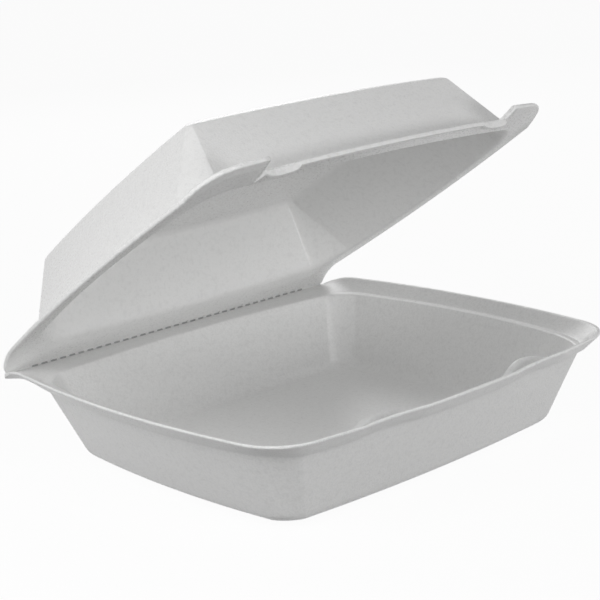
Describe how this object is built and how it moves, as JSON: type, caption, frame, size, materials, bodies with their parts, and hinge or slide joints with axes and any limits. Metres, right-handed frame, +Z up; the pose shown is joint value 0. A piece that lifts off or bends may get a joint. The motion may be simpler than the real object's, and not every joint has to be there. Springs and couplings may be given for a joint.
{
  "type": "foam clamshell container",
  "caption": "Square foam takeaway container: a tray with bowed leaning walls and a flared rim, and a domed lid with lift tabs, folded along a perforated hinge line.",
  "frame": {"origin": "middle of the tray's underside, on the surface it stands on", "axes": "+X to the right along the fold, +Y back towards the fold, +Z up"},
  "size_m": [0.233, 0.2085, 0.166],
  "materials": {
    "foam_tray": "satin white expanded polystyrene foam sheet",
    "foam_lid": "satin white expanded polystyrene foam sheet"
  },
  "bodies": {
    "tray": {"tray": "foam_tray"},
    "lid": {"lid": "foam_lid"}
  },
  "joints": [
    {"name": "lid_hinge", "type": "hinge", "parent": "tray", "child": "lid", "pos_m": [0, 0.1055, 0.03915], "axis": [-1, 0, 0], "range_deg": [-31.5, 131]}
  ]
}
